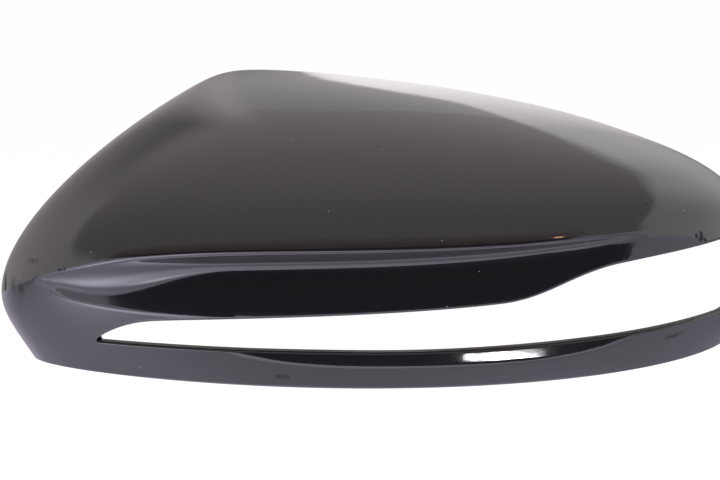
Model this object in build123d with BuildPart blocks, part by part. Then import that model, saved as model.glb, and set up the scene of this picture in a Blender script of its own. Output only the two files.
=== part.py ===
# Cover of a car's wing mirror: one thin moulding with a fluted side and a slot for a lamp.
# Millimetres, Z up, X towards the car, the front of the cover faces -Y.
# Origin: the shoulder of the main locating peg inside the cover.
from build123d import *

import os
from math import comb, cos, hypot, pi, radians, sin, tan

os.makedirs("parts", exist_ok=True)

# Wall and rear rim
WALL = 2.5
RIM_Y = 58.0              # rear rim, flat across the middle
RIM_SWEEP_R = 110.0       # both ends of the rim sweep forward on this radius
RIM_SWEEP_ARC = 55.0
RIM_OUTER_X = -50.0       # where the outer sweep starts
RIM_INNER_X = 85.0        # where the inner sweep starts
EDGE_R = 1.0              # rounding of the rim and hem
REACH = 100.0             # cutters run this far past the part

# Guide lines along the cover, from the outer end round to the inner end.
# Each is a Bezier row: the first and last values are reached, the others pull.
TOP_LINE_Y = RIM_Y + 6.0  # the top line lies behind the rim and is trimmed off
TOP_LINE_X = (-38, -38, -36, 0, 66, 92, 94)
TOP_LINE_Z = (53, 53, 52, 51, 44, 29, 24)
NOSE_X = (-119, -126, -108, -30, 78, 136, 134)
NOSE_Y = (64, 2, -34, -40, -32, 4, 64)
NOSE_Z = (-20, -32, -11, 12, -7, -16, 5, 11, -13)
HEM_Z = (-47, -44, -42, -58, -53, -44, -38)
HEM_TUCK = (10, 12, 22, 25, 24, 14, 6)     # hem behind the nose
HEM_LEAN = 34.0                            # lean of the belt at the hem
ROOF = (28, 32, 56, 62, 52, 30, 20)        # pull of the roof forwards
ROOF_DROP = (12, 11, 4, 1, 2, 4, 5)        # fall of the roof over that pull
BROW = (28, 27, 30, 34, 26, 18, 14)        # pull of the dome above the nose
CHIN = (7, 7, 8, 9, 8, 7, 6)               # pull of the belt below the nose
POLE = 3.0                                 # sections start this far from the top line
STATIONS = 13

# Flute under the crease
FLUTE_FROM = 0.20         # share of the way along the cover
FLUTE_TO = 0.78
FLUTE_DEPTH = (-1.5, 5.2, 8.4, 8, 8, 5, -1.2)
FLUTE_ROLL = (0.5, 2.5, 2.5, 1, 4, 3.5, 0.5)
FLUTE_SCOOP = 6.0         # more roll at the outer end, where the flute opens into a scoop
FLUTE_SCOOP_TO = 0.4      # share of the flute that the scoop takes
FLUTE_FALL = 28.0         # fall of the flute's ceiling, inwards
FLUTE_DROP = 30.0
FLUTE_STATIONS = 17
CUT_OUT = 8.0             # flute and ledge are cut from this far outside the nose

# Upright ledge along the strap, under the slot
LEDGE_FROM = 0.40
LEDGE_TO = 0.785
LEDGE_SET = (11.5, 19, 16, 15.5, 16, 7)    # its wall, behind the nose
LEDGE_TOP = 27.0                           # cut from here, below the nose and within the slot
LEDGE_DROP = 20.0
LEDGE_STATIONS = 9

# Lamp slot, seen from the front: one outline of Bezier pieces from the outer tip over the top.
# Every third point is reached, the two between pull.
SLOT_TOP = (
    (-84.5, -33.8), (-82, -31.5), (-76, -28.45),
    (-69, -27.4), (-58, -25.75), (5, -25.6),
    (45, -21.6), (60, -20.1), (68, -12.2),
    (84, -9.4), (94, -7.65), (107, -6),
    (117, -4), (122, -3),
)
SLOT_END = ((125.5, -8), (125.5, -14), (125.5, -21))
SLOT_FOOT = (
    (122.5, -27.2), (117, -28.4), (90, -34.4), (45, -38),
    (5, -37.5), (-25, -37.1), (-55, -35.7), (-83.6, -34.6), (-84.4, -34.6),
)
SLOT_TIP = (-84.9, -34.2)
COLLAR_WALL = 1.8         # collar round the slot on the inside
COLLAR_DEPTH = 4.0

# Locating pegs
PEG_R = 2.5
PEG_LENGTH = 10.0
PEG_BOSS_R = 4.5
PEG_CHAMFER = 0.8
PEG_WEB = 1.6
PEG_WEB_SPAN = 9.0        # webs reach this far from the peg's axis
PEG_WEB_STEP = 5.0        # webs stop this far short of the shoulder
SECOND_PEG = (72.0, 4.0)

# Hooks: three hang under the roof, one stands on the outer end wall
HOOK_AT = (0.30, 0.52, 0.72)
HOOK_Y = RIM_Y - 14.0
HOOK_WIDTH = 12.0
HOOK_LENGTH = 13.0        # from the wall to the tip
HOOK_THICK = 2.0
HOOK_BARB = 1.8
HOOK_BARB_RUN = 3.2
END_HOOK_Y = 26.0
END_HOOK_Z = -18.0
END_WALL_X = -117.5      # the end wall's outside at that hook

# Stiffening ribs inside the dome
RIB_X = (-66.0, 36.0)
RIB_THICK = 1.6
RIB_HEIGHT = 5.0
RIB_FOOT_Z = 2.0
RIB_REAR = 20.0           # ribs stop this far short of the rim


def along(row, t):
    n = len(row) - 1
    return sum(comb(n, i) * (1 - t) ** (n - i) * t**i * v for i, v in enumerate(row))


def section_plane(t):
    dx = along(NOSE_X, t) - along(TOP_LINE_X, t)
    dy = along(NOSE_Y, t) - TOP_LINE_Y
    return Plane(origin=(along(TOP_LINE_X, t), TOP_LINE_Y, 0), x_dir=(dx, dy, 0), z_dir=(dy, -dx, 0))


def reach_at(t):
    return hypot(along(NOSE_X, t) - along(TOP_LINE_X, t), along(NOSE_Y, t) - TOP_LINE_Y)


def skin(t):
    # Control points of one section: roof, brow, nose, chin, hem.
    reach = reach_at(t)
    nose = along(NOSE_Z, t)
    top = along(TOP_LINE_Z, t)
    hem = along(HEM_Z, t)
    hem_r = reach - along(HEM_TUCK, t)
    rise = 0.45 * (nose - hem)
    return [
        (POLE, top),
        (along(ROOF, t), top - along(ROOF_DROP, t)),
        (reach, nose + along(BROW, t)),
        (reach, nose),
        (reach, nose - along(CHIN, t)),
        (hem_r + rise * tan(radians(HEM_LEAN)), hem + rise),
        (hem_r, hem),
    ]


def meet(a, b, c, d):
    # Crossing of the line a-b with the line c-d.
    abx, aby = b[0] - a[0], b[1] - a[1]
    cdx, cdy = d[0] - c[0], d[1] - c[1]
    k = ((c[0] - a[0]) * cdy - (c[1] - a[1]) * cdx) / (abx * cdy - aby * cdx)
    return (a[0] + k * abx, a[1] + k * aby)


def inset(points, gap):
    # The same section further in: every leg of its frame moves in by the gap.
    legs = []
    for i, j in ((0, 1), (1, 2), (2, 4), (4, 5), (5, 6)):
        ax, ay = points[i]
        bx, by = points[j]
        run = hypot(bx - ax, by - ay)
        nx, ny = (by - ay) / run * gap, (ax - bx) / run * gap
        legs.append(((ax + nx, ay + ny), (bx + nx, by + ny)))
    return [
        legs[0][0],
        meet(*legs[0], *legs[1]),
        meet(*legs[1], *legs[2]),
        (points[3][0] - gap, points[3][1]),
        meet(*legs[2], *legs[3]),
        meet(*legs[3], *legs[4]),
        legs[4][1],
    ]


def flute_frame(t, s, gap):
    # The flute's ceiling falls inwards from the crease, rolls, and runs down an upright wall.
    reach = reach_at(t)
    nose = along(NOSE_Z, t)
    slope = tan(radians(FLUTE_FALL))
    lift = gap / cos(radians(FLUTE_FALL))
    wall_r = reach - along(FLUTE_DEPTH, s) - gap
    corner_z = nose + (wall_r - reach) * slope + lift
    scoop = FLUTE_SCOOP * sin(pi * min(s / FLUTE_SCOOP_TO, 1)) ** 2
    roll = along(FLUTE_ROLL, s) + scoop + 0.7 * gap
    roll_r = roll * cos(radians(FLUTE_FALL))
    return [
        (reach + CUT_OUT, nose + CUT_OUT * slope + lift),
        (wall_r + roll_r, corner_z + roll_r * slope),
        (wall_r, corner_z),
        (wall_r, corner_z - roll),
        (wall_r, nose - FLUTE_DROP),
        (reach + CUT_OUT, nose - FLUTE_DROP),
    ]


def body(gap, below):
    # The whole form, its skin moved in by the gap and its foot carried down past the hem.
    with BuildPart() as form:
        for i in range(STATIONS):
            t = i / (STATIONS - 1)
            p = inset(skin(t), gap)
            foot = (p[6][0] - below * tan(radians(HEM_LEAN)), p[6][1] - below)
            with BuildSketch(section_plane(t)):
                with BuildLine():
                    Bezier(*p[0:4])
                    Bezier(*p[3:7])
                    if below > 0:
                        Line(p[6], foot)
                    Polyline(foot, (p[0][0], foot[1]), p[0])
                make_face()
        loft()
    with BuildPart() as flute:
        for i in range(FLUTE_STATIONS):
            s = i / (FLUTE_STATIONS - 1)
            t = FLUTE_FROM + s * (FLUTE_TO - FLUTE_FROM)
            p = flute_frame(t, s, gap)
            with BuildSketch(section_plane(t)):
                with BuildLine():
                    Line(p[0], p[1])
                    Bezier(p[1], p[2], p[3])
                    Polyline(p[3], p[4], p[5], p[0])
                make_face()
        loft()
    with BuildPart() as ledge:
        for i in range(LEDGE_STATIONS):
            s = i / (LEDGE_STATIONS - 1)
            t = LEDGE_FROM + s * (LEDGE_TO - LEDGE_FROM)
            wall_r = reach_at(t) - along(LEDGE_SET, s) - gap
            out_r = reach_at(t) + CUT_OUT
            high = along(NOSE_Z, t) - LEDGE_TOP
            low = high - LEDGE_DROP
            with BuildSketch(section_plane(t)):
                with BuildLine():
                    Polyline((wall_r, high), (wall_r, low), (out_r, low), (out_r, high), close=True)
                make_face()
        loft()
    with BuildPart() as shaped:
        add(form.part)
        add(flute.part, mode=Mode.SUBTRACT)
        add(ledge.part, mode=Mode.SUBTRACT)
    return shaped.part


def slot_outline(grow):
    # Upper points move up by the growth, lower points down, and the inner end outwards.
    points = [(x, z + grow) for x, z in SLOT_TOP]
    points += [(x + grow, z) for x, z in SLOT_END]
    points += [(x, z - grow) for x, z in SLOT_FOOT]
    points += [(SLOT_TIP[0] - grow, SLOT_TIP[1]), points[0]]
    for i in range(0, len(points) - 1, 3):
        Bezier(*points[i : i + 4])


outside = body(0, 0)
core = body(WALL / 2, 8)      # inside fittings root at the middle of the wall
hollow = body(WALL, 10)
facing = Plane.XZ.offset(-REACH / 2)

# Collar that seats the lamp round the slot
with BuildPart() as collar:
    add(core)
    add(hollow.moved(Location((0, COLLAR_DEPTH, 0))), mode=Mode.SUBTRACT)
    with BuildSketch(facing):
        with BuildLine():
            slot_outline(COLLAR_WALL)
        make_face()
    extrude(amount=REACH, mode=Mode.INTERSECT, clean=False)

# Ribs that stiffen the dome
with BuildPart() as ribs:
    add(core)
    add(hollow.moved(Location((0, RIB_HEIGHT, -RIB_HEIGHT))), mode=Mode.SUBTRACT)
    with BuildSketch(Plane.XY.offset(RIB_FOOT_Z)):
        for x in RIB_X:
            with Locations((x, RIM_Y - RIB_REAR - REACH / 2)):
                Rectangle(RIB_THICK, REACH)
    extrude(amount=REACH, mode=Mode.INTERSECT)

# Bosses and webs under the two locating pegs
with BuildPart() as bosses:
    with BuildSketch(Plane.XZ):
        with Locations((0, 0), SECOND_PEG):
            Circle(PEG_BOSS_R)
    extrude(amount=REACH)
    with BuildSketch(Plane.XZ.offset(PEG_WEB_STEP)):
        with Locations((0, 0), SECOND_PEG):
            Rectangle(2 * PEG_WEB_SPAN, PEG_WEB)
            Rectangle(PEG_WEB, 2 * PEG_WEB_SPAN)
    extrude(amount=REACH)
    add(core, mode=Mode.INTERSECT)

with BuildPart() as pegs:
    with BuildSketch(Plane.XZ.offset(PEG_WEB_STEP)):
        with Locations((0, 0), SECOND_PEG):
            Circle(PEG_R)
    extrude(amount=-PEG_LENGTH - PEG_WEB_STEP)
    chamfer(pegs.faces().sort_by(Axis.Y)[-2:].edges(), PEG_CHAMFER)

# Hooks that catch behind the housing's edge
with BuildPart() as hooks:
    for t in HOOK_AT:
        x, top = along(TOP_LINE_X, t), along(TOP_LINE_Z, t)
        low = top - WALL - HOOK_LENGTH
        back = HOOK_Y + HOOK_THICK
        with BuildSketch(Plane.YZ.offset(x - HOOK_WIDTH / 2)):
            with BuildLine():
                Polyline(
                    (HOOK_Y, top),
                    (HOOK_Y, low),
                    (back, low),
                    (back + HOOK_BARB, low + HOOK_BARB_RUN),
                    (back, low + HOOK_BARB_RUN + HOOK_BARB / 2),
                    (back, top),
                    close=True,
                )
            make_face()
        extrude(amount=HOOK_WIDTH)
    with BuildSketch(Plane.XY.offset(END_HOOK_Z - HOOK_WIDTH / 2)):
        wall_x = min(NOSE_X)
        tip = END_WALL_X + WALL + HOOK_LENGTH
        back = END_HOOK_Y + HOOK_THICK
        with BuildLine():
            Polyline(
                (wall_x, END_HOOK_Y),
                (tip, END_HOOK_Y),
                (tip, back),
                (tip - HOOK_BARB_RUN, back + HOOK_BARB),
                (tip - HOOK_BARB_RUN - HOOK_BARB / 2, back),
                (wall_x, back),
                close=True,
            )
        make_face()
    extrude(amount=HOOK_WIDTH)
    add(core, mode=Mode.INTERSECT)

with BuildPart() as cover:
    add(outside)
    with BuildSketch(Plane.XY.offset(-REACH)):
        with BuildLine():
            mid = Line((RIM_OUTER_X, RIM_Y), (RIM_INNER_X, RIM_Y))
            outer_sweep = JernArc(mid @ 0, (-1, 0), RIM_SWEEP_R, RIM_SWEEP_ARC)
            inner_sweep = JernArc(mid @ 1, (1, 0), RIM_SWEEP_R, -RIM_SWEEP_ARC)
            a, b = outer_sweep @ 1, inner_sweep @ 1
            Polyline(a, (a.X, RIM_Y + REACH), (b.X, RIM_Y + REACH), b)
        make_face()
    extrude(amount=2 * REACH, mode=Mode.SUBTRACT)
    skin_face = cover.faces().sort_by(SortBy.AREA)[-1]
    fillet(skin_face.outer_wire().edges(), EDGE_R)
    add(hollow, mode=Mode.SUBTRACT)
    add(collar.part, clean=False)  # keeps the slot's faces apart, so none closes on itself
    with BuildSketch(facing):
        with BuildLine():
            slot_outline(0)
        make_face()
    extrude(amount=REACH, mode=Mode.SUBTRACT, clean=False)
    add(ribs.part, clean=False)
    add(bosses.part, clean=False)
    add(pegs.part, clean=False)
    add(hooks.part, clean=False)

cover.part.label = "mirror_cover"
export_step(cover.part, "parts/mirror_cover.step")
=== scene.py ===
from math import comb, cos, pi, radians, sin, tan

import bmesh
import bpy
import numpy as np
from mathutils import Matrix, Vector
from mathutils.bvhtree import BVHTree


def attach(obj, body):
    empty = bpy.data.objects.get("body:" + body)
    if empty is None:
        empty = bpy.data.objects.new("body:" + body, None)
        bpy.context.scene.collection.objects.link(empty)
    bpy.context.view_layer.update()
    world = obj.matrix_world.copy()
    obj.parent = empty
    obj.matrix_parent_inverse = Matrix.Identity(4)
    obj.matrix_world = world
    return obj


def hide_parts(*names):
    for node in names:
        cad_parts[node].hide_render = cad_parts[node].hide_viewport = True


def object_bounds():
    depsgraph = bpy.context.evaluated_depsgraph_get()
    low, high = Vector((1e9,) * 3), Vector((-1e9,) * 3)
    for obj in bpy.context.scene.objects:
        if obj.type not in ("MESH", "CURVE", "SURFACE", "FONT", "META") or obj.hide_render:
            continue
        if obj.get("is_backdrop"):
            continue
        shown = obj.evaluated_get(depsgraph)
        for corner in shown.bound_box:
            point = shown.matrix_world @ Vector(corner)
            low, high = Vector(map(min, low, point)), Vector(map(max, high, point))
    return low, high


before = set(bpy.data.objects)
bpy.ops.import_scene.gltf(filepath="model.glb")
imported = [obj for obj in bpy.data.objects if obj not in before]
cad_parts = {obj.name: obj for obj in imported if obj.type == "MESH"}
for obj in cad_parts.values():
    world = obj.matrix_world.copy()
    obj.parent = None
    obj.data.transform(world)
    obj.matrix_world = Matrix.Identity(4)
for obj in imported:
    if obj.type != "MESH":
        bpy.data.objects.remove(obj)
cad_low, cad_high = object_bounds()

# Cover shell
# One thin injection-moulded plastic shell, painted gloss black. Its sections turn round the
# outer end; a flute is sunk under the crease and the slot for the lamp is cut right through.
# Sizes are in millimetres and the guide rows run from the outer end round to the inner end.
MM = 0.001
WALL = 2.5
RIM_Y = 58.0
RIM_SWEEP_R = 110.0
RIM_OUTER_X = -50.0
RIM_INNER_X = 85.0
RIM_ROUND = 1.0
TOP_LINE_Y = RIM_Y + 6.0
TOP_LINE_X = (-38, -38, -36, 0, 66, 92, 94)
TOP_LINE_Z = (53, 53, 52, 51, 44, 29, 24)
NOSE_X = (-119, -126, -108, -30, 78, 136, 134)
NOSE_Y = (64, 2, -34, -40, -32, 4, 64)
NOSE_Z = (-20, -32, -11, 12, -7, -16, 5, 11, -13)
HEM_Z = (-47, -44, -42, -58, -53, -44, -38)
HEM_TUCK = (10, 12, 22, 25, 24, 14, 6)
HEM_LEAN = tan(radians(34))
HEM_RISE = 0.45
ROOF = (28, 32, 56, 62, 52, 30, 20)
ROOF_DROP = (12, 11, 4, 1, 2, 4, 5)
BROW = (28, 27, 30, 34, 26, 18, 14)
CHIN = (7, 7, 8, 9, 8, 7, 6)
POLE = 3.0

# The flute: the shares along the cover where it runs, its depth, roll and the fall of its ceiling.
FLUTE_FROM = 0.20
FLUTE_TO = 0.78
FLUTE_DEPTH = (-1.5, 5.2, 8.4, 8, 8, 5, -1.2)
FLUTE_ROLL = (0.5, 2.5, 2.5, 1, 4, 3.5, 0.5)
FLUTE_SCOOP = 6.0
FLUTE_SCOOP_TO = 0.4
FLUTE_FALL = radians(28)
FLUTE_DROP = 30.0
FLUTE_ROLL_IN = 0.7
CUT_OUT = 8.0
CREASE_ROUND = 0.9
LIP_ROUND = 0.7
ROUND_SHARE = 0.3

# The slot's outline as seen from the front, the collar behind it, and the ledge of the strap below it.
SLOT = (
    (-84.5, -33.8), (-82, -31.5), (-76, -28.45),
    (-69, -27.4), (-58, -25.75), (5, -25.6),
    (45, -21.6), (60, -20.1), (68, -12.2),
    (84, -9.4), (94, -7.65), (107, -6),
    (117, -4), (122, -3), (125.5, -8),
    (125.5, -14), (125.5, -21), (122.5, -27.2),
    (117, -28.4), (90, -34.4), (45, -38),
    (5, -37.5), (-25, -37.1), (-55, -35.7),
    (-83.6, -34.6), (-84.4, -34.6), (-84.9, -34.2), (-84.5, -33.8),
)
SLOT_ROUND = 0.8
COLLAR_WALL = 1.8
COLLAR_DEPTH = 4.0
LEDGE_FROM = 0.40
LEDGE_TO = 0.785
LEDGE_SET = (11.5, 19, 16, 15.5, 16, 7)
LEDGE_TOP = 27.0
LEDGE_BEND = 0.9

# Rows and columns of the mesh. The rows settle into the flute and the ledge between the depths at which
# these show; where the flute has run out, its rows lie flat on the belt.
DOME_ROWS = 64
FLUTE_ROWS = (6, 7, 9, 8, 5, 4)
BELT_ROWS = 8
STRAP_ROWS = (9, 9, 12)
FLUTE_SHOWS = (0.3, 1.6)
FLAT_SPAN = 4.0
FLAT_SHARE = 0.3
BELT_FROM = 0.4
LEDGE_SHOWS = (0.0, 1.5)
COLUMN_STEP = 1.7
COLUMN_LEAST = 4e-6
EDGE_COLUMNS = 15
EDGE_SPAN = 6.0
ROUND_STEPS = 6
SLOT_PAINTED = 3
SLOT_HAIR = 1e-4
WELD = 2e-4
SHARP_FROM = radians(50)


def along(row, t):
    # The value of a guide row at a share of the way along the cover.
    n = len(row) - 1
    return sum(comb(n, i) * (1 - t) ** (n - i) * t**i * v for i, v in enumerate(row))


def weights(count, v):
    n = count - 1
    return [comb(n, i) * (1 - v) ** (n - i) * v**i for i in range(count)]


def curve(points, v):
    # A smooth curve that the control points pull on.
    x = sum(w * p[0] for w, p in zip(weights(len(points), v), points))
    y = sum(w * p[1] for w, p in zip(weights(len(points), v), points))
    return np.stack([x, y], axis=1)


def rim_y(x):
    # The rear rim is flat across the middle and sweeps forwards at both ends.
    past = np.maximum(RIM_OUTER_X - x, 0) + np.maximum(x - RIM_INNER_X, 0)
    return RIM_Y - RIM_SWEEP_R + np.sqrt(np.maximum(RIM_SWEEP_R**2 - past**2, 0))


def smooth(x, low, high):
    # Rises from 0 to 1 between low and high.
    s = np.clip((x - low) / (high - low), 0, 1)
    return s * s * (3 - 2 * s)


def meet(a, b, c, d):
    # Where the line through a and b meets the line through c and d.
    ab, cd = b - a, d - c
    k = ((c[0] - a[0]) * cd[1] - (c[1] - a[1]) * cd[0]) / (ab[0] * cd[1] - ab[1] * cd[0])
    return a + k * ab


def section_frame(t, gap):
    # The control points of one section, every leg of their frame moved in by the gap.
    reach = np.hypot(along(NOSE_X, t) - along(TOP_LINE_X, t), along(NOSE_Y, t) - TOP_LINE_Y)
    nose, top, hem = along(NOSE_Z, t), along(TOP_LINE_Z, t), along(HEM_Z, t)
    hem_r = reach - along(HEM_TUCK, t)
    rise = HEM_RISE * (nose - hem)
    p = np.array([
        (POLE, top),
        (along(ROOF, t), top - along(ROOF_DROP, t)),
        (reach, nose + along(BROW, t)),
        (reach, nose),
        (reach, nose - along(CHIN, t)),
        (hem_r + rise * HEM_LEAN, hem + rise),
        (hem_r, hem),
    ], float)
    legs = []
    for i, j in ((0, 1), (1, 2), (2, 4), (4, 5), (5, 6)):
        run = p[j] - p[i]
        inward = np.array([run[1], -run[0]]) / np.hypot(*run) * gap
        legs.append((p[i] + inward, p[j] + inward))
    inset = np.array([
        legs[0][0],
        meet(*legs[0], *legs[1]),
        meet(*legs[1], *legs[2]),
        p[3] - (gap, 0),
        meet(*legs[2], *legs[3]),
        meet(*legs[3], *legs[4]),
        legs[4][1],
    ])
    return reach, nose, inset


def flute_line(t, reach, nose, gap):
    # The flute's ceiling falls inwards from the crease, rolls, and runs down an upright wall.
    s = (t - FLUTE_FROM) / (FLUTE_TO - FLUTE_FROM)
    if not 0 < s < 1:
        return None
    slope, lift = tan(FLUTE_FALL), gap / cos(FLUTE_FALL)
    wall_r = reach - along(FLUTE_DEPTH, s) - gap
    corner = np.array([wall_r, nose + (wall_r - reach) * slope + lift])
    scoop = FLUTE_SCOOP * sin(pi * min(s / FLUTE_SCOOP_TO, 1)) ** 2
    roll = along(FLUTE_ROLL, s) + scoop + FLUTE_ROLL_IN * gap
    start = corner + roll * cos(FLUTE_FALL) * np.array([1, slope])
    end = corner - (0, roll)
    outside = np.array([reach + CUT_OUT, nose + CUT_OUT * slope + lift])
    ceiling = outside + np.linspace(0, 1, 240)[:-1, None] * (start - outside)
    turn = curve((start, corner, end), np.linspace(0, 1, 80))
    wall = end + np.linspace(0, 1, 240)[1:, None] * (0, nose - FLUTE_DROP - end[1])
    return np.concatenate([ceiling, turn, wall]), len(ceiling), len(ceiling) + len(turn) - 1


def lengths(line):
    # How far along the line each of its points lies.
    return np.concatenate([[0], np.cumsum(np.hypot(*np.diff(line, axis=0).T))])


def at_length(line, run, at):
    return np.stack([np.interp(at, run, line[:, k]) for k in range(line.shape[1])], axis=-1)


def rounded(line, corner, size):
    # The same line with one of its corners turned into a short curve.
    run = lengths(line)
    a, b = at_length(line, run, run[corner] - size), at_length(line, run, run[corner] + size)
    turn = curve((a, line[corner], b), np.linspace(0, 1, 13))
    before, after = line[run < run[corner] - size], line[run > run[corner] + size]
    return np.concatenate([before, turn, after]), len(before), len(before) + len(turn) - 1


slot_line = np.concatenate(
    [curve(SLOT[i : i + 4], np.linspace(0, 1, 41)[:-1]) for i in range(0, len(SLOT) - 1, 3)]
)


def slot_distance(x, z):
    # Distance from the slot's outline as seen from the front, less than zero within it.
    a, b = slot_line, np.roll(slot_line, -1, axis=0)
    p = np.stack([x, z], axis=1)[:, None]
    ab = b - a
    k = np.clip(((p - a) * ab).sum(2) / (ab * ab).sum(1), 0, 1)
    near = np.sqrt((((a + k[..., None] * ab) - p) ** 2).sum(2)).min(1)
    crosses = (a[:, 1] > p[..., 1]) != (b[:, 1] > p[..., 1])
    rise = np.where(ab[:, 1] == 0, 1e-9, ab[:, 1])
    left = p[..., 0] < a[:, 0] + (p[..., 1] - a[:, 1]) * ab[:, 0] / rise
    within = (crosses & left).sum(1) % 2 == 1
    return np.where(within, -near, near)


def crossing(run, value, i):
    # Where the value passes zero between the points i and i + 1.
    return run[i] + (run[i + 1] - run[i]) * value[i] / (value[i] - value[i + 1])


def section(t, gap, slot_edge):
    # One section of the skin as a line in space, with the places along it that rows follow.
    reach, nose, p = section_frame(t, gap)
    dome = curve(p[:4], np.linspace(0, 1, 500))
    belt = curve(p[3:], np.linspace(0, 1, 400)[1:])
    base = np.concatenate([dome, belt])
    line, marks, depth = base, None, 0.0
    flute = flute_line(t, reach, nose, gap)
    if flute is not None:
        cut, roll_from, roll_to = flute
        skin_r = np.interp(-cut[:, 1], -base[:, 1], base[:, 0])
        sunk = np.where((skin_r - cut[:, 0]) > 0)[0]
        if len(sunk) > 12:
            first, last = sunk[0], sunk[-1]
            depth = (skin_r - cut[:, 0]).max()
            over, under = base[base[:, 1] > cut[first, 1]], base[base[:, 1] < cut[last, 1]]
            line = np.concatenate([over, cut[first : last + 1], under])
            crease, lip = len(over), len(over) + last - first
            lip_size = min(LIP_ROUND, ROUND_SHARE * depth)
            line, _, lip_to = rounded(line, lip, lip_size)
            tail = len(line) - lip_to
            crease_size = min(CREASE_ROUND, ROUND_SHARE * depth)
            line, crease_from, crease_to = rounded(line, crease, crease_size)
            run = lengths(line)
            marks = [run[crease_from], run[crease_to], 0, 0, 0, run[len(line) - tail]]
            z = line[:, 1]
            marks[2] = np.interp(-cut[max(roll_from, first), 1], -z[crease_to:], run[crease_to:])
            marks[3] = np.interp(-cut[min(roll_to, last), 1], -z[crease_to:], run[crease_to:])
            marks[4] = marks[5] - 2 * lip_size
            marks = list(np.maximum.accumulate(marks))
    ledge_marks = None
    s = (t - LEDGE_FROM) / (LEDGE_TO - LEDGE_FROM)
    if 0 < s < 1:
        # The strap is cut back to an upright wall, from within the slot to where the skin leans in.
        wall_r = reach - along(LEDGE_SET, s) - gap
        proud = (line[:, 1] < nose - LEDGE_TOP) & (line[:, 0] > wall_r)
        if proud.any():
            foot = np.where(proud)[0][-1]
            wall = np.stack([np.full(len(line), wall_r), line[:, 1]], axis=1)
            line = np.where(proud[:, None], wall, line)
            line, bend_from, bend_to = rounded(line, foot, LEDGE_BEND)
            run = lengths(line)
            ledge_marks = [run[bend_from], run[bend_to]]
    run = lengths(line)
    start = marks[0] if marks else run[np.argmin(np.abs(line[:, 1] - nose))]
    top_x = along(TOP_LINE_X, t)
    turn = np.array([along(NOSE_X, t) - top_x, along(NOSE_Y, t) - TOP_LINE_Y])
    turn /= np.hypot(*turn)
    place = [top_x + turn[0] * line[:, 0], TOP_LINE_Y + turn[1] * line[:, 0], line[:, 1]]
    place = np.stack(place, axis=1)

    behind = place[:, 1] - rim_y(place[:, 0]) + RIM_ROUND
    kept = np.where(behind < 0)[0]
    if len(kept) == 0:
        return None
    low, high = kept[0], kept[-1]
    begin = crossing(run, behind, low - 1) if low > 0 else run[0]
    end = crossing(run, behind, high) if high < len(line) - 1 else run[-1] - RIM_ROUND

    below = np.where(run > start)[0]
    outline = slot_distance(place[below, 0], place[below, 2]) - slot_edge
    inside = np.where(outline < 0)[0]
    if len(inside):
        i, j = below[inside[0]], below[inside[-1]]
        outline = np.concatenate([np.zeros(below[0]), outline])
        top = crossing(run, outline, i - 1)
        bottom = crossing(run, outline, j)
    else:
        top = bottom = run[below[np.argmin(outline)]]
    return {
        "line": place, "run": run, "marks": marks, "depth": depth, "ledge": ledge_marks,
        "start": start, "begin": begin, "end": end,
        "top": top, "bottom": bottom, "open": len(inside) > 0,
    }


def eased(a, b, count, at_a, at_b):
    # Places from a to b, closer together at one end or both.
    u = np.linspace(0, 1, count + 1)
    u = u - at_a * np.sin(pi * u) * (1 - u) / pi + at_b * np.sin(pi * u) * u / pi
    return a + (b - a) * u


def rows_of(s):
    # Where the mesh's rows lie along one section.
    spread = min(FLAT_SPAN, FLAT_SHARE * (s["top"] - s["start"]))
    lip = max(s["marks"][5] if s["marks"] else 0, s["start"] + spread)
    foot = lip + BELT_FROM * max(s["top"] - lip, 0)
    even = np.linspace(s["start"], foot, sum(FLUTE_ROWS) + 1)
    if s["marks"]:
        stops = s["marks"] + [foot]
        pieces = [eased(a, b, n, 0, 0)[1:] for a, b, n in zip(stops, stops[1:], FLUTE_ROWS)]
        shaped = np.concatenate([[stops[0]], *pieces])
        share = smooth(s["depth"], *FLUTE_SHOWS)
        even = share * shaped + (1 - share) * even
    dome = eased(s["begin"], s["start"], DOME_ROWS, 0.3, 0.5)
    upper = np.concatenate([dome, even[1:], eased(foot, s["top"], BELT_ROWS, 0, 0.6)[1:]])
    upper = np.clip(upper, s["begin"], min(s["top"], s["end"]))
    lower = eased(s["bottom"], s["end"], sum(STRAP_ROWS), 0.5, 0.3)
    if s["ledge"] and s["ledge"][0] > s["bottom"]:
        stops = [s["bottom"], *s["ledge"], s["end"]]
        pieces = [eased(a, b, n, 0, 0)[1:] for a, b, n in zip(stops, stops[1:], STRAP_ROWS)]
        share = smooth(s["ledge"][0] - s["bottom"], *LEDGE_SHOWS)
        lower = share * np.concatenate([[stops[0]], *pieces]) + (1 - share) * lower
    return upper, np.clip(lower, s["begin"], s["end"])


def skin_points(s):
    # The mesh's points on one section.
    return at_length(s["line"], s["run"], np.concatenate(rows_of(s)))


def reaches(t, gap):
    # Whether the section has any skin in front of the rim.
    return section(t, gap, SLOT_ROUND) is not None


def opens(t):
    # Whether the slot cuts the section.
    s = section(t, 0, SLOT_ROUND)
    return s is not None and s["open"]


def turning_point(test, off, on):
    # The share along the cover at which the test starts to hold.
    for _ in range(26):
        mid = (off + on) / 2
        off, on = (off, mid) if test(mid) else (mid, on)
    return on


outer_from = turning_point(lambda t: reaches(t, 0), 0.0, 0.4)
outer_to = turning_point(lambda t: reaches(t, 0), 1.0, 0.6)
inner_from = turning_point(lambda t: reaches(t, WALL), 0.0, 0.4)
inner_to = turning_point(lambda t: reaches(t, WALL), 1.0, 0.6)
slot_from = turning_point(opens, 0.0, 0.5)
slot_to = turning_point(opens, 1.0, 0.5)

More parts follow.
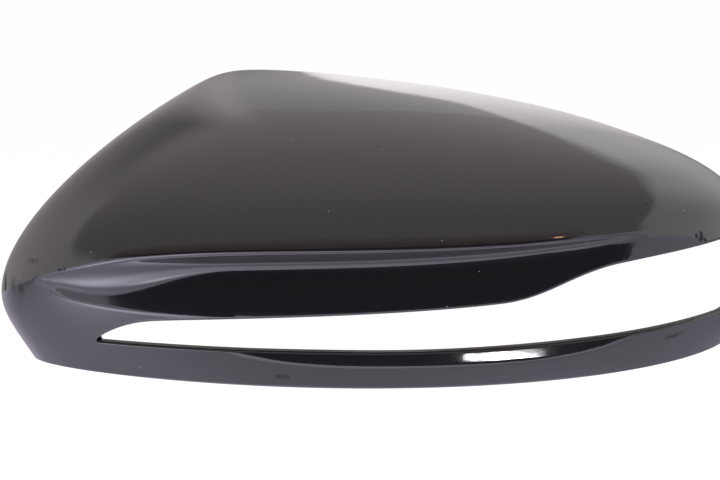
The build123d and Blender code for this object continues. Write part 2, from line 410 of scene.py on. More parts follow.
# Columns of the mesh at even steps along the nose, closer where the cover and the slot end.
steps = np.linspace(outer_from, outer_to, 4000)
nose_path = np.stack([along(NOSE_X, steps), along(NOSE_Y, steps), along(NOSE_Z, steps)], axis=1)
nose_run = np.concatenate([[0], np.cumsum(np.linalg.norm(np.diff(nose_path, axis=0), axis=1))])
columns = list(np.interp(np.arange(0, nose_run[-1], COLUMN_STEP), nose_run, steps)[1:])
close_in = (np.arange(EDGE_COLUMNS) / (EDGE_COLUMNS - 1)) ** 2
width = np.interp(EDGE_SPAN, nose_run, steps) - outer_from
for edge, way in ((outer_from, 1), (outer_to, -1), (slot_from, 1), (slot_to, -1)):
    columns += list(edge + way * width * close_in)
columns += [slot_from - SLOT_HAIR, slot_to + SLOT_HAIR]
columns = np.unique(np.round([t for t in columns if outer_from <= t <= outer_to], 6))
columns = columns[np.concatenate([[True], np.diff(columns) > COLUMN_LEAST])]

outer_skin, inner_skin = [], []
for t in columns:
    s = section(t, 0, SLOT_ROUND)
    outer_skin.append(skin_points(s))
    inner = section(np.clip(t, inner_from, inner_to), WALL, COLLAR_WALL)
    if not s["open"]:
        inner["bottom"] = inner["top"] = (inner["bottom"] + inner["top"]) / 2
    inner_skin.append(skin_points(inner))
outer_skin, inner_skin = np.array(outer_skin), np.array(inner_skin)

# The solid is lofted through fewer sections, so its box is a hair smaller.
# The skins are drawn in to it.
box_low, box_high = np.array(cad_low) / MM, np.array(cad_high) / MM
short_low = np.minimum(box_low / outer_skin.min(axis=(0, 1)), 1)
short_high = np.minimum(box_high / outer_skin.max(axis=(0, 1)), 1)
for skin_grid in (outer_skin, inner_skin):
    skin_grid *= np.where(skin_grid < 0, short_low, short_high)

upper_rows = DOME_ROWS + sum(FLUTE_ROWS) + BELT_ROWS + 1
all_rows = outer_skin.shape[1]
number = np.arange(len(columns) * all_rows).reshape(len(columns), all_rows)
quads = []
for k in [k for k in range(all_rows - 1) if k != upper_rows - 1]:
    ring = [number[:-1, k], number[:-1, k + 1], number[1:, k + 1], number[1:, k]]
    quads.append(np.stack(ring, axis=1))
quads = np.concatenate(quads)


def welded(points):
    # Points at the same place become one.
    keys = np.round(points / WELD).astype(np.int64)
    _, first, same = np.unique(keys, axis=0, return_index=True, return_inverse=True)
    return points[first], first, same.reshape(-1)


def closed_up(faces, same):
    # The faces on welded points, without those that close up to nothing.
    rings = [list(dict.fromkeys(int(v) for v in same[face])) for face in faces]
    return [ring for ring in rings if len(ring) > 2]


def edge_loops(faces):
    # The open edges of a mesh, chained in the order of their faces.
    uses = {}
    for face in faces:
        for a, b in zip(face, face[1:] + face[:1]):
            uses[(a, b)] = uses.get((a, b), 0) + 1
    after = {a: b for a, b in uses if (b, a) not in uses}
    loops = []
    while after:
        a = next(iter(after))
        loop = [a]
        while after.get(loop[-1]) is not None:
            b = after.pop(loop[-1])
            if b == a:
                break
            loop.append(b)
        loops.append(loop)
    return loops


def point_normals(points, faces):
    # The way out of the mesh at each point.
    total = np.zeros_like(points)
    for face in faces:
        p = points[face]
        total[face] += np.cross(p[2] - p[0], p[-1] - p[1])
    return total / np.maximum(np.linalg.norm(total, axis=1), 1e-12)[:, None]


skin, skin_first, same = welded(outer_skin.reshape(-1, 3))
skin_faces = closed_up(quads, same)
skin_normals = point_normals(skin, skin_faces)
inside = inner_skin.reshape(-1, 3)
loops = sorted(edge_loops(skin_faces), key=len, reverse=True)

shell_points = [skin, inside]
painted = [np.array(face) for face in skin_faces]
bare = [len(skin) + quad[::-1] for quad in quads]
count = len(skin) + len(inside)
for loop in loops[:2]:
    # The rim and hem are rounded on both sides; the slot's edge is rounded and runs on as a collar.
    p, q = skin[loop], inside[skin_first[loop]]
    tangent = np.roll(p, -1, axis=0) - np.roll(p, 1, axis=0)
    outward = np.cross(tangent, skin_normals[loop])
    is_slot = abs(p[:, 0].max() - slot_line[:, 0].max()) < 2
    into = np.tile([0.0, 1.0, 0.0], (len(p), 1)) if is_slot else q - p
    into /= np.linalg.norm(into, axis=1)[:, None]
    outward -= (outward * into).sum(1)[:, None] * into
    outward /= np.maximum(np.linalg.norm(outward, axis=1), 1e-9)[:, None]
    size = SLOT_ROUND if is_slot else RIM_ROUND
    angles = np.linspace(0, pi / 2, ROUND_STEPS)[1:]
    rings = [p] + [p + size * (sin(a) * outward + (1 - cos(a)) * into) for a in angles]
    painted_rings = SLOT_PAINTED if is_slot else len(rings)
    if is_slot:
        end = q + (0, COLLAR_DEPTH, 0)
        rings += [np.stack([rings[-1][:, 0], end[:, 1], rings[-1][:, 2]], axis=1), end, q]
    else:
        rings += [q + size * (sin(a) * outward - (1 - cos(a)) * into) for a in angles[::-1]] + [q]
        for ring in rings:
            ring[:, 1] = np.minimum(ring[:, 1], rim_y(ring[:, 0]))
            ring[:] = np.clip(ring, box_low, box_high)
    before = np.array(loop)
    for k, ring in enumerate(rings[1:], 1):
        after = np.arange(count, count + len(ring))
        strip = np.stack([np.roll(before, -1), before, after, np.roll(after, -1)], axis=1)
        (painted if k <= painted_rings else bare).extend(strip)
        shell_points.append(ring)
        count += len(ring)
        before = after
shell_points, _, same = welded(np.concatenate(shell_points))
painted, bare = closed_up(painted, same), closed_up(bare, same)


def mesh_object(name, points, faces):
    # An object from points in millimetres, smooth but for its sharp edges.
    mesh = bpy.data.meshes.new(name)
    mesh.from_pydata([tuple(p) for p in np.asarray(points) * MM], [], faces)
    mesh.polygons.foreach_set("use_smooth", [True] * len(mesh.polygons))
    mesh.set_sharp_from_angle(angle=SHARP_FROM)
    mesh.update()
    made = bpy.data.objects.new(name, mesh)
    bpy.context.scene.collection.objects.link(made)
    return made


shell = mesh_object("cover_shell", shell_points, painted + bare)

# Paint: gloss black with a faint peel, a film of wiped dust, single specks, and the wear of a used cover.
# Chips, scuffs and stains are places in millimetres with a radius, where the paint has broken away, gone
# pale or lost its gloss; each is full within its core, a share of the radius.
CHIPS = (
    (-116.7, 24.2, -15.6, 0.9), (-116.6, 23.3, -16.8, 1.4), (-116.3, 22.3, -18.2, 1.1),
    (-116.2, 21.6, -19.3, 1.6), (-95.8, -6.2, -11.2, 0.8), (-94.2, -7.6, -10.8, 0.7),
    (109.0, 11.2, -2.0, 0.9), (110.6, 12.4, -2.9, 1.2), (110.4, 12.5, -1.5, 0.9),
    (112.1, 13.8, -3.6, 0.9), (91.4, 1.3, 8.9, 0.7), (100.2, 14.9, -35.9, 0.6),
    (102.0, 16.3, -35.4, 0.7), (104.0, 18.0, -34.8, 0.6),
)
SCUFFS = ((-110.5, 9.4, -14.5, 1.2), (-71.0, -2.1, -43.0, 0.8), (-106.5, 5.0, -9.8, 0.7))
STAINS = (
    (-113.0, 13.4, -18.0, 3.8), (-109.5, 8.4, -18.6, 3.0), (-26.2, -8.0, -45.6, 1.5),
    (-24.9, -8.0, -45.5, 1.7), (-23.6, -8.0, -45.4, 1.4), (-106.8, 5.2, -9.3, 1.7),
    (-105.2, 3.4, -9.3, 1.8), (-103.6, 1.8, -9.2, 1.5), (98.4, 13.4, -36.3, 1.6),
    (100.8, 15.3, -35.7, 2.0), (103.0, 17.1, -35.1, 1.8), (105.2, 19.0, -34.4, 1.3),
)
CHIP_CORE = 0.8
SCUFF_CORE = 0.3
STAIN_CORE = 0.05
CHIP_DEPTH = 6.0
SCUFF_PALE = 0.35
STAIN_LOSS = 0.9
WORN_ROUGH = 0.6
TEAR = 0.002
TEARS_PER_M = 700.0
BLACK = (0.011, 0.010, 0.013)
DUST = (0.3, 0.29, 0.28)
BROKEN = (0.003, 0.003, 0.003)
PAINT_IOR = 1.5
COAT_ROUGH = 0.02
FILM_PER_M = 14.0
FILM_ROUGH = (0.05, 0.11)
PEEL_PER_M = 220.0
PEEL_HEIGHT = 0.000012
SPECKS_PER_M = 120.0
SPECK_R = 0.035

gloss_black = bpy.data.materials.new("gloss_black_paint")
gloss_black.use_nodes = True
paint_tree = gloss_black.node_tree
paint = paint_tree.nodes["Principled BSDF"]
paint.inputs["IOR"].default_value = PAINT_IOR
paint.inputs["Coat Roughness"].default_value = COAT_ROUGH
paint.inputs["Coat IOR"].default_value = PAINT_IOR
paint_place = paint_tree.nodes.new("ShaderNodeTexCoord").outputs["Object"]


def noise(tree, where, per_m, detail):
    made = tree.nodes.new("ShaderNodeTexNoise")
    made.inputs["Scale"].default_value = per_m
    made.inputs["Detail"].default_value = detail
    tree.links.new(where, made.inputs["Vector"])
    return made


def combine(tree, kind, *values):
    # Numbers or sockets put together by one kind of sum.
    made = tree.nodes.new("ShaderNodeMath")
    made.operation = kind
    for socket, value in zip(made.inputs, values):
        if isinstance(value, (int, float)):
            socket.default_value = value
        else:
            tree.links.new(value, socket)
    return made.outputs[0]


def ramp(tree, value, low, high, to_low, to_high):
    made = tree.nodes.new("ShaderNodeMapRange")
    made.interpolation_type = "SMOOTHSTEP"
    for socket, limit in zip(made.inputs[1:5], (low, high, to_low, to_high)):
        socket.default_value = limit
    tree.links.new(value, made.inputs["Value"])
    return made.outputs["Result"]


def ragged_spots(spots, core):
    # One where the surface lies within any of the spots, whose outlines are torn by noise.
    torn = paint_tree.nodes.new("ShaderNodeVectorMath")
    torn.operation = "MULTIPLY_ADD"
    torn.inputs[1].default_value = (TEAR, TEAR, TEAR)
    paint_tree.links.new(noise(paint_tree, paint_place, TEARS_PER_M, 2.0).outputs["Color"], torn.inputs[0])
    paint_tree.links.new(paint_place, torn.inputs[2])
    spotted = 0.0
    for x, y, z, r in spots:
        far = paint_tree.nodes.new("ShaderNodeVectorMath")
        far.operation = "DISTANCE"
        far.inputs[1].default_value = [v * MM + TEAR / 2 for v in (x, y, z)]
        paint_tree.links.new(torn.outputs[0], far.inputs[0])
        spot = ramp(paint_tree, far.outputs["Value"], r * MM, r * MM * core, 0.0, 1.0)
        spotted = combine(paint_tree, "MAXIMUM", spot, spotted)
    return spotted


def tinted(under, mask, colour):
    # The colour laid over another one, or over a socket, where the mask is one.
    blend = paint_tree.nodes.new("ShaderNodeMix")
    blend.data_type = "RGBA"
    blend.inputs["B"].default_value = (*colour, 1)
    if isinstance(under, tuple):
        blend.inputs["A"].default_value = (*under, 1)
    else:
        paint_tree.links.new(under, blend.inputs["A"])
    paint_tree.links.new(mask, blend.inputs["Factor"])
    return blend.outputs["Result"]


chipped = ragged_spots(CHIPS, CHIP_CORE)
scuffed = combine(paint_tree, "MULTIPLY", ragged_spots(SCUFFS, SCUFF_CORE), SCUFF_PALE)
stained = combine(paint_tree, "MULTIPLY", ragged_spots(STAINS, STAIN_CORE), STAIN_LOSS)
specks = paint_tree.nodes.new("ShaderNodeTexVoronoi")
specks.inputs["Scale"].default_value = SPECKS_PER_M
paint_tree.links.new(paint_place, specks.inputs["Vector"])
dusty = ramp(paint_tree, specks.outputs["Distance"], SPECK_R, SPECK_R * 0.5, 0.0, 1.0)
pale = combine(paint_tree, "MAXIMUM", scuffed, dusty)
worn = combine(paint_tree, "MAXIMUM", chipped, pale)

colour = tinted(tinted(BLACK, pale, DUST), chipped, BROKEN)
paint_tree.links.new(colour, paint.inputs["Base Color"])
film = noise(paint_tree, paint_place, FILM_PER_M, 4.0).outputs["Fac"]
rough = ramp(paint_tree, film, 0.35, 0.75, *FILM_ROUGH)
rough = combine(paint_tree, "MAXIMUM", rough, combine(paint_tree, "MULTIPLY", worn, WORN_ROUGH))
paint_tree.links.new(rough, paint.inputs["Roughness"])
lost = combine(paint_tree, "MAXIMUM", worn, stained)
paint_tree.links.new(combine(paint_tree, "SUBTRACT", 1.0, lost), paint.inputs["Coat Weight"])
peel = noise(paint_tree, paint_place, PEEL_PER_M, 1.0).outputs["Fac"]
relief = combine(paint_tree, "SUBTRACT", peel, combine(paint_tree, "MULTIPLY", chipped, CHIP_DEPTH))
surface = paint_tree.nodes.new("ShaderNodeBump")
surface.inputs["Distance"].default_value = PEEL_HEIGHT
paint_tree.links.new(relief, surface.inputs["Height"])
paint_tree.links.new(surface.outputs["Normal"], paint.inputs["Normal"])
paint_tree.links.new(surface.outputs["Normal"], paint.inputs["Coat Normal"])

# Bare moulding: the inside is black plastic as it leaves the mould, matt, finely grained and a little
# uneven in tone where it flowed.
BARE_DARK = (0.024, 0.024, 0.025, 1)
BARE_LIGHT = (0.036, 0.036, 0.037, 1)
BARE_IOR = 1.45
BARE_SHINE = 0.3
BARE_ROUGH = (0.5, 0.62)
FLOW_PER_M = 22.0
GRAIN_PER_M = 1600.0
GRAIN_HEIGHT = 0.00004

bare_black = bpy.data.materials.new("bare_black_moulding")
bare_black.use_nodes = True
bare_tree = bare_black.node_tree
moulding = bare_tree.nodes["Principled BSDF"]
moulding.inputs["IOR"].default_value = BARE_IOR
moulding.inputs["Specular IOR Level"].default_value = BARE_SHINE
bare_place = bare_tree.nodes.new("ShaderNodeTexCoord").outputs["Object"]
grain = noise(bare_tree, bare_place, GRAIN_PER_M, 2.0).outputs["Fac"]
flow = noise(bare_tree, bare_place, FLOW_PER_M, 3.0).outputs["Fac"]
tone = bare_tree.nodes.new("ShaderNodeMix")
tone.data_type = "RGBA"
tone.inputs["A"].default_value = BARE_DARK
tone.inputs["B"].default_value = BARE_LIGHT
bare_tree.links.new(flow, tone.inputs["Factor"])
bare_tree.links.new(tone.outputs["Result"], moulding.inputs["Base Color"])
bare_tree.links.new(ramp(bare_tree, flow, 0.3, 0.7, *BARE_ROUGH), moulding.inputs["Roughness"])
pitted = bare_tree.nodes.new("ShaderNodeBump")
pitted.inputs["Distance"].default_value = GRAIN_HEIGHT
bare_tree.links.new(grain, pitted.inputs["Height"])
bare_tree.links.new(pitted.outputs["Normal"], moulding.inputs["Normal"])

shell.data.materials.append(gloss_black)
shell.data.materials.append(bare_black)
shell.data.polygons.foreach_set("material_index", [0] * len(painted) + [1] * len(bare))
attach(shell, "root")
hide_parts("mirror_cover")

# Locating pegs
# Two round pegs on bosses with crossed webs, moulded on the inside in one with the shell. They
# enter holes in the mirror housing; the pegs' shoulders stop against its front.
PEG_R = 2.5
PEG_LENGTH = 10.0
PEG_BOSS_R = 4.5
PEG_CHAMFER = 0.8
PEG_WEB = 1.6
PEG_WEB_SPAN = 9.0
PEG_WEB_STEP = 5.0
PEG_WEB_PARTS = 19
PEG_WEB_LEAST = 0.5
PEG_AT = ((0.0, 0.0), (72.0, 4.0))
PEG_SIDES = 40
PEG_EDGE = 0.3
SINK = 1.2

inside_wall = BVHTree.FromPolygons([tuple(p) for p in inside], [tuple(map(int, q)) for q in quads])


def wall_at(start, way):
    # Where a straight way from inside the cover meets the wall.
    return inside_wall.ray_cast(Vector(start), Vector(way))[0]


def lofted(rings):
    # A closed solid through rings of points, with a cap on both ends.
    n = len(rings[0])
    strips = [(k * n + i, k * n + (i + 1) % n) for k in range(len(rings) - 1) for i in range(n)]
    faces = [[a, b, b + n, a + n] for a, b in strips]
    faces += [list(range(n))[::-1], list(range((len(rings) - 1) * n, len(rings) * n))]
    return np.concatenate(rings), faces


def fitting(name, solids, edge):
    # Solids of one kind as one object, their edges rounded as a mould leaves them.
    points, faces, count = [], [], 0
    for solid_points, solid_faces in solids:
        points.append(solid_points)
        faces += [[count + v for v in face] for face in solid_faces]
        count += len(solid_points)
    made = mesh_object(name, np.concatenate(points), faces)
    bm = bmesh.new()
    bm.from_mesh(made.data)
    bmesh.ops.recalc_face_normals(bm, faces=bm.faces)
    bm.to_mesh(made.data)
    bm.free()
    made.data.set_sharp_from_angle(angle=SHARP_FROM)
    soften = made.modifiers.new("soften", "BEVEL")
    soften.width = edge * MM
    soften.segments = 2
    soften.limit_method = "ANGLE"
    soften.angle_limit = SHARP_FROM
    made.data.materials.append(bare_black)
    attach(made, "root")
    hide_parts("mirror_cover")


peg_solids = []
for px, pz in PEG_AT:
    circle = np.linspace(0, 2 * pi, PEG_SIDES + 1)[:-1]
    tip = [(PEG_R - PEG_CHAMFER, PEG_LENGTH), (PEG_R, PEG_LENGTH - PEG_CHAMFER)]
    rings = []
    for r, y in tip + [(PEG_R, 0.0), (PEG_BOSS_R, 0.0)]:
        ring = [px + r * np.cos(circle), np.full(PEG_SIDES, y), pz + r * np.sin(circle)]
        rings.append(np.stack(ring, axis=1))
    foot = np.array([(x, wall_at((x, 0, z), (0, -1, 0)).y - SINK, z) for x, _, z in rings[-1]])
    peg_solids.append(lofted(rings + [foot]))
    for across in ((1, 0), (0, 1)):
        rings = []
        for step in np.linspace(-PEG_WEB_SPAN, PEG_WEB_SPAN, PEG_WEB_PARTS):
            x, z = px + step * across[0], pz + step * across[1]
            wall_y = wall_at((x, 0, z), (0, -1, 0)).y
            if wall_y < -PEG_WEB_STEP - PEG_WEB_LEAST:
                deep, half = wall_y - SINK, PEG_WEB / 2
                sides = ((-half, deep), (-half, -PEG_WEB_STEP), (half, -PEG_WEB_STEP), (half, deep))
                rings.append(np.array([(x + k * across[1], y, z + k * across[0]) for k, y in sides]))
        peg_solids.append(lofted(rings))
fitting("locating_pegs", peg_solids, PEG_EDGE)

# Stiffening ribs
# Two thin ribs inside the dome, moulded in one with the shell, that keep the wide roof from drumming.
RIB_X = (-66.0, 36.0)
RIB_THICK = 1.6
RIB_HEIGHT = 5.0
RIB_FOOT_Z = 2.0
RIB_REAR = 20.0
RIB_STEPS = 40
RIB_SINK = 0.7 * SINK
RIB_EDGE = 0.3


def wall_profile(x):
    # The inside of the dome where a plane across the cover at x meets it, from the crease upwards.
    line = []
    for row in range(DOME_ROWS, -1, -1):
        path = inner_skin[:, row]
        order = np.argsort(path[:, 0])
        line.append([np.interp(x, path[order, 0], path[order, k]) for k in (1, 2)])
    return np.array(line)


def trimmed(line):
    # The stretch of a rib's edge above its foot and clear of the rim, in even steps.
    line = at_length(line, lengths(line), np.linspace(0, lengths(line)[-1], 800))
    kept = line[(line[:, 1] >= RIB_FOOT_Z) & (line[:, 0] <= RIM_Y - RIB_REAR)]
    return at_length(kept, lengths(kept), np.linspace(0, lengths(kept)[-1], RIB_STEPS))


rib_solids = []
for x in RIB_X:
    wall_line = wall_profile(x)
    root = trimmed(wall_line + (-RIB_SINK, RIB_SINK))
    crest = trimmed(wall_line + (RIB_HEIGHT, -RIB_HEIGHT))
    half = RIB_THICK / 2
    rings = []
    for (ry, rz), (cy, cz) in zip(root, crest):
        one_side = [(x - half, ry, rz), (x - half, cy, cz)]
        other_side = [(x + half, cy, cz), (x + half, ry, rz)]
        rings.append(np.array(one_side + other_side))
    rib_solids.append(lofted(rings))
fitting("stiffening_ribs", rib_solids, RIB_EDGE)

# Hooks
# Barbed hooks moulded in one with the shell: three hang under the roof and one stands on the outer
# end wall. They spring over the edge of the mirror housing and catch behind it.
HOOK_AT = (0.30, 0.52, 0.72)
HOOK_Y = RIM_Y - 14.0
HOOK_WIDTH = 12.0
HOOK_LENGTH = 13.0
HOOK_THICK = 2.0
HOOK_BARB = 1.8
HOOK_BARB_RUN = 3.2
HOOK_BARB_HEEL = HOOK_BARB_RUN + HOOK_BARB / 2
HOOK_PARTS = 9
HOOK_EDGE = 0.25
END_HOOK_Y = 26.0
END_HOOK_Z = -18.0
END_WALL_X = -117.5

hook_solids = []
across_hook = np.linspace(-HOOK_WIDTH / 2, HOOK_WIDTH / 2, HOOK_PARTS)
for t in HOOK_AT:
    low = along(TOP_LINE_Z, t) - WALL - HOOK_LENGTH
    back = HOOK_Y + HOOK_THICK
    rings = []
    for x in along(TOP_LINE_X, t) + across_hook:
        front_top, back_top = [wall_at((x, y, low), (0, 0, 1)).z + SINK for y in (HOOK_Y, back)]
        barb = [(back, low), (back + HOOK_BARB, low + HOOK_BARB_RUN), (back, low + HOOK_BARB_HEEL)]
        outline = [(HOOK_Y, front_top), (HOOK_Y, low), *barb, (back, back_top)]
        rings.append(np.array([(x, y, z) for y, z in outline]))
    hook_solids.append(lofted(rings))

tip = END_WALL_X + WALL + HOOK_LENGTH
back = END_HOOK_Y + HOOK_THICK
rings = []
for z in END_HOOK_Z + across_hook:
    front_root, back_root = [wall_at((tip, y, z), (-1, 0, 0)).x - SINK for y in (END_HOOK_Y, back)]
    barb = [(tip, back), (tip - HOOK_BARB_RUN, back + HOOK_BARB), (tip - HOOK_BARB_HEEL, back)]
    outline = [(front_root, END_HOOK_Y), (tip, END_HOOK_Y), *barb, (back_root, back)]
    rings.append(np.array([(x, y, z) for x, y in outline]))
hook_solids.append(lofted(rings))
fitting("hooks", hook_solids, HOOK_EDGE)

# Floor
# A plain pale sheet some way under the cover, which is held by its peg. It shows white and keeps the
# cover's soft shadow.
FLOOR_SIZE = 60.0
FLOOR_DROP = 0.12
FLOOR_GREY = 0.9
FLOOR_ROUGH = 0.9
FLOOR_LIFT = 0.5

floor_z = cad_low.z - FLOOR_DROP
bpy.ops.mesh.primitive_plane_add(size=FLOOR_SIZE, location=(0, 0, floor_z))
floor = bpy.context.object
floor.name = "floor"
pale_sheet = bpy.data.materials.new("pale_sheet")
pale_sheet.use_nodes = True
sheet_tree = pale_sheet.node_tree
sheet = sheet_tree.nodes["Principled BSDF"]
sheet.inputs["Base Color"].default_value = (FLOOR_GREY, FLOOR_GREY, FLOOR_GREY, 1)
sheet.inputs["Roughness"].default_value = FLOOR_ROUGH
sheet.inputs["Specular IOR Level"].default_value = 0.0
ray = sheet_tree.nodes.new("ShaderNodeLightPath").outputs
seen = combine(sheet_tree, "ADD", ray["Is Camera Ray"], ray["Is Glossy Ray"])
seen = combine(sheet_tree, "ADD", seen, ray["Is Transmission Ray"])
lift = combine(sheet_tree, "MULTIPLY", seen, FLOOR_LIFT)
sheet_tree.links.new(lift, sheet.inputs["Emission Strength"])
sheet.inputs["Emission Color"].default_value = (1, 1, 1, 1)
floor.data.materials.append(pale_sheet)
floor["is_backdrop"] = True

# Gloss cards
# Sheets, screens and boards round the cover that only stand in its gloss, as in a photographer's
# studio. Each is a grid of points with a brightness, where 1 is white, and edges that fade out.
# Places are in metres; turns and rises are degrees seen from the cover, a turn of 0 towards the camera.


def gloss_card(name, points, glow, cover, colour):
    # A card of its own light that the camera doesn't see and that casts no shadow.
    rows, cols = points.shape[:2]
    at = np.arange(rows * cols).reshape(rows, cols)
    cells = np.stack([at[:-1, :-1], at[:-1, 1:], at[1:, 1:], at[1:, :-1]], axis=-1)
    mesh = bpy.data.meshes.new(name)
    mesh.from_pydata(points.reshape(-1, 3).tolist(), [], cells.reshape(-1, 4).tolist())
    for label, values in (("glow", glow), ("cover", cover)):
        values = np.broadcast_to(values, (rows, cols)).reshape(-1)
        mesh.attributes.new(label, "FLOAT", "POINT").data.foreach_set("value", values.tolist())
    lit = bpy.data.materials.new(name)
    lit.use_nodes = True
    nodes, links = lit.node_tree.nodes, lit.node_tree.links
    nodes.remove(nodes["Principled BSDF"])
    light = nodes.new("ShaderNodeEmission")
    clear = nodes.new("ShaderNodeBsdfTransparent")
    blend = nodes.new("ShaderNodeMixShader")
    light.inputs["Color"].default_value = (*colour, 1)
    for label, socket in (("glow", light.inputs["Strength"]), ("cover", blend.inputs[0])):
        value = nodes.new("ShaderNodeAttribute")
        value.attribute_name = label
        links.new(value.outputs["Fac"], socket)
    links.new(clear.outputs[0], blend.inputs[1])
    links.new(light.outputs[0], blend.inputs[2])
    links.new(blend.outputs[0], nodes["Material Output"].inputs["Surface"])
    mesh.materials.append(lit)
    card = bpy.data.objects.new(name, mesh)
    bpy.context.scene.collection.objects.link(card)
    card.visible_camera = False
    card.visible_diffuse = False
    card.visible_shadow = False
    card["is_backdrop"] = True


# The floor's sheet as the gloss sees it: brighter before the cover and its outer end, dimmer behind it.
# Bright spots are a place, a radius and a gain.
SHEET_SIZE = 5.0
SHEET_LIFT = 0.001
SHEET_GLOW = 0.8
SHEET_REAR = 0.42
SHEET_SHADE = 0.45
SHEET_FRONT = 0.7
SHEET_COLOUR = (0.99, 0.92, 1.12)
BRIGHT_SPOTS = (
    (-0.28, -0.18, 0.085, 3.2), (-0.22, -0.37, 0.045, 3.0), (-0.8, -0.45, 0.3, 0.9),
    (-0.07, 0.03, 0.035, 1.1), (0.0, 0.03, 0.03, 0.6), (0.08, 0.05, 0.04, 0.8),
)

side = np.linspace(-1, 1, 121)
side = SHEET_SIZE * np.sign(side) * np.abs(side) ** 2
x, y = np.meshgrid(side, side)
rear = smooth(y, -0.05, 0.25)
# The cover's soft shadow, painted into the sheet just behind it.
shade = np.exp(-(((y - 0.15) / 0.07) ** 2)) * (1 - smooth(np.abs(x), 0.12, 0.2))
front = smooth(-y, 0.1, 0.15) * (1 - smooth(np.abs(x - 0.03), 0.18, 0.34))
glow = SHEET_GLOW - SHEET_REAR * rear - SHEET_SHADE * shade + SHEET_FRONT * front
for spot_x, spot_y, spot_r, gain in BRIGHT_SPOTS:
    glow = glow + gain * np.exp(-((x - spot_x) ** 2 + (y - spot_y) ** 2) / (2 * spot_r**2))
cover = 1 - smooth(np.hypot(x, y), 0.7 * SHEET_SIZE, SHEET_SIZE)
sheet_points = np.stack([x, y, np.full_like(x, floor_z + SHEET_LIFT)], axis=-1)
gloss_card("floor_sheet", sheet_points, glow, cover, SHEET_COLOUR)

# Three screens stand in rings round the cover: a soft one at the left, one at the right that runs on
# behind it, and a high one straight behind.
SCREEN_ROWS = 25
SCREEN_END = 6.0
LEFT_AWAY = 1.4
LEFT_TURNS = np.linspace(-173.0, -56, 90)
LEFT_TOP = 48 - 43 * smooth(LEFT_TURNS, -110, -62)
LEFT_FADE = 7.0
LEFT_COLOUR = (1, 0.92, 0.94)
RIGHT_AWAY = 1.3
RIGHT_TURNS = np.linspace(60.0, 188, 120)
RIGHT_ARCH = 52 * (1 - np.clip(np.abs((RIGHT_TURNS - 122) / 64), 0, 1) ** 3)
RIGHT_TOP = np.maximum(RIGHT_ARCH, 27 * smooth(RIGHT_TURNS, 150, 165))
RIGHT_FADE = 2.4 - 1.5 * smooth(RIGHT_TURNS, 150, 170)
RIGHT_COLOUR = (1, 0.96, 0.95)
REAR_AWAY = 1.6
REAR_TURNS = np.linspace(162.0, 199, 40)
REAR_TOP = 47 - 0.07 * (REAR_TURNS - 183) ** 2
REAR_FADE = 0.8
REAR_GLOW = 0.64
REAR_COLOUR = (1, 0.95, 0.94)


def screen(name, away, turns, top, fade, glow, colour):
    # A screen from the floor up, which fades out at its top and at both ends.
    share = np.linspace(0, 1, SCREEN_ROWS)[:, None]
    foot = np.degrees(np.arctan2(floor_z, away))
    rise = foot + (top + fade - foot) * share
    turn = np.radians(turns) + 0 * rise
    ring = [away * np.sin(turn), -away * np.cos(turn), away * np.tan(np.radians(rise))]
    first, last = turns[0], turns[-1]
    ends = smooth(turns, first, first + SCREEN_END) * (1 - smooth(turns, last - SCREEN_END, last))
    cover = ends * (1 - smooth(rise, top - fade, top + fade))
    gloss_card(name, np.stack(ring, axis=-1), glow(turns, rise), cover, colour)


def left_glow(turn, rise):
    # Brightest at the cover's left, dim behind it and a little brighter higher up.
    behind = 0.014 * np.maximum(rise, 0) * smooth(-turn, 158, 170)
    return 0.26 + 0.7 * smooth(turn, -160, -80) + behind


def right_glow(turn, rise):
    # Bright at the cover's right with a lamp high up, dim low behind it, bright again straight behind.
    behind = smooth(turn, 125, 155)
    low = 0.14 + 0.024 * np.maximum(rise, 0)
    lamp = 0.4 * np.exp(-(((turn - 108) / 28) ** 2)) * smooth(rise, 10, 45)
    return 1 - behind + behind * low + lamp + 0.07 * np.clip(turn - 165, 0, 13)


def rear_glow(turn, rise):
    # The same all over.
    return np.full(np.broadcast_shapes(turn.shape, rise.shape), REAR_GLOW)


screen("left_screen", LEFT_AWAY, LEFT_TURNS, LEFT_TOP, LEFT_FADE, left_glow, LEFT_COLOUR)
screen("right_screen", RIGHT_AWAY, RIGHT_TURNS, RIGHT_TOP, RIGHT_FADE, right_glow, RIGHT_COLOUR)
screen("rear_screen", REAR_AWAY, REAR_TURNS, REAR_TOP, REAR_FADE, rear_glow, REAR_COLOUR)

# A black cloth lies on the floor towards the camera and hangs as a skirt from a brown board at its far
# edge. The board fades out upwards.
BOARD_LEFT = -1.8
BOARD_RIGHT = 1.5
BOARD_Y = -1.4
BOARD_RISE = (-0.05, 0.06, 0.18, 0.34)
BOARD_COVER = (1, 1, 0.6, 0)
BOARD_GLOW = 0.26
BOARD_COLOUR = (1, 0.7, 0.66)
SKIRT_RISE = (floor_z, BOARD_RISE[0])
SKIRT_GLOW = 0.05
SKIRT_COLOUR = (1, 1, 1.1)
CLOTH_NEAR = ((-0.29, -0.83), (0.0, -0.38), (0.11, -0.25), (0.19, -0.19))
CLOTH_FAR_RIGHT = 1.36
CLOTH_COLUMNS = 13
CLOTH_LIFT = 0.002
CLOTH_GLOW = ((0.14,), (0.05,))
CLOTH_COLOUR = (1, 0.95, 1.2)

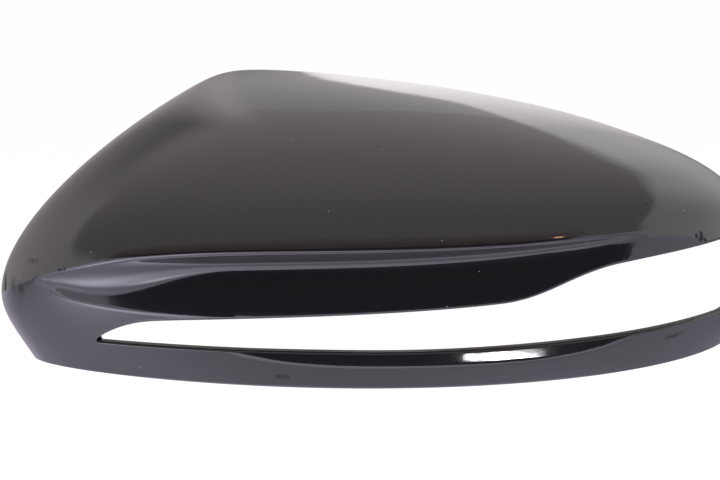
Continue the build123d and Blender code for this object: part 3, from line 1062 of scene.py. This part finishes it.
near_x = np.linspace(CLOTH_NEAR[0][0], CLOTH_NEAR[-1][0], CLOTH_COLUMNS)
near_y = np.interp(near_x, *zip(*CLOTH_NEAR))
far_x = np.linspace(BOARD_LEFT, CLOTH_FAR_RIGHT, CLOTH_COLUMNS)
far_y = np.full(CLOTH_COLUMNS, BOARD_Y)
level = np.full(CLOTH_COLUMNS, floor_z + CLOTH_LIFT)
cloth = np.stack([np.stack([near_x, near_y, level], axis=1), np.stack([far_x, far_y, level], axis=1)])
cloth_cover = smooth(np.linspace(0, 1, CLOTH_COLUMNS), 0, 0.16)
gloss_card("black_cloth", cloth, CLOTH_GLOW, cloth_cover, CLOTH_COLOUR)
across = np.linspace(BOARD_LEFT, BOARD_RIGHT, 31)
ends = smooth(across, BOARD_LEFT, BOARD_LEFT + 0.3) * (1 - smooth(across, BOARD_RIGHT - 0.2, BOARD_RIGHT))
skirt = np.array([[(x, BOARD_Y, z) for x in across] for z in SKIRT_RISE])
gloss_card("black_skirt", skirt, SKIRT_GLOW, ends, SKIRT_COLOUR)
board = np.array([[(x, BOARD_Y, z) for x in across] for z in BOARD_RISE])
gloss_card("brown_board", board, BOARD_GLOW, np.array(BOARD_COVER)[:, None] * ends, BOARD_COLOUR)

# A small warm lamp beside the board, mirrored just above the crease.
LAMP_X = (1.135, 1.205)
LAMP_Y = -1.35
LAMP_Z = (0.038, 0.088)
LAMP_GLOW = 7.0
LAMP_COLOUR = (1, 0.6, 0.35)

lamp = np.array([[(x, LAMP_Y, z) for x in LAMP_X] for z in LAMP_Z])
gloss_card("warm_lamp", lamp, LAMP_GLOW, 1.0, LAMP_COLOUR)

# Light
# A pale room, brighter above, one large soft light over the cover's right, and a thin bar of light that
# is mirrored in the strap's ledge.
ROOM = 0.5
ROOM_ABOVE = 0.24
ROOM_CURVE = 3.0
ROOM_COLOUR = (1, 0.91, 0.93, 1)
KEY_AT = (0.9, -0.5, 1.3)
KEY_SIZE = 1.2
KEY_WATTS = 6.0
BAR_AT = (0.131, -0.19, -0.0656)
BAR_AIM = (0.0437, -0.013, -0.0405)
BAR_SIZE = (0.07, 0.0022)
BAR_GLOW = 0.55
BAR_SPREAD = radians(10)

world = bpy.data.worlds.new("studio")
bpy.context.scene.world = world
world.use_nodes = True
room_tree = world.node_tree
background = room_tree.nodes["Background"]
background.inputs["Color"].default_value = ROOM_COLOUR
way = room_tree.nodes.new("ShaderNodeTexCoord")
split = room_tree.nodes.new("ShaderNodeSeparateXYZ")
room_tree.links.new(way.outputs["Generated"], split.inputs[0])
upward = combine(room_tree, "POWER", split.outputs["Z"], ROOM_CURVE)
room_glow = combine(room_tree, "MULTIPLY_ADD", upward, ROOM_ABOVE, ROOM)
room_tree.links.new(room_glow, background.inputs["Strength"])


def soft_light(name, at, aim, size, watts):
    lamp = bpy.data.lights.new(name, "AREA")
    lamp.shape = "RECTANGLE"
    lamp.size, lamp.size_y = size
    lamp.energy = watts
    made = bpy.data.objects.new(name, lamp)
    made.location = at
    made.rotation_euler = (Vector(aim) - Vector(at)).to_track_quat("-Z", "Y").to_euler()
    made.visible_camera = False
    bpy.context.scene.collection.objects.link(made)
    return made


key = soft_light("key", KEY_AT, (0, 0, 0), (KEY_SIZE, KEY_SIZE), KEY_WATTS)
key.visible_glossy = False
bar_watts = BAR_GLOW * pi * BAR_SIZE[0] * BAR_SIZE[1]
bar = soft_light("bar", BAR_AT, BAR_AIM, BAR_SIZE, bar_watts)
bar.data.spread = BAR_SPREAD

# Camera
# Level with the cover's front, a little above it, through a long lens.
AIM = Vector((0, -0.026, 0))
CAMERA_DISTANCE = 1.0
CAMERA_HEIGHT = radians(5)
LENS = 160
SENSOR = 36

bpy.context.scene.view_settings.view_transform = "Standard"
camera = bpy.data.objects.new("camera", bpy.data.cameras.new("camera"))
bpy.context.scene.collection.objects.link(camera)
camera.data.sensor_width = SENSOR
camera.data.lens = LENS
camera.location = AIM + CAMERA_DISTANCE * Vector((0, -cos(CAMERA_HEIGHT), sin(CAMERA_HEIGHT)))
camera.rotation_euler = (AIM - camera.location).to_track_quat("-Z", "Y").to_euler()
bpy.context.scene.camera = camera

# The box of the dressed cover, beside the solid's box taken at the start.
low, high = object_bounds()
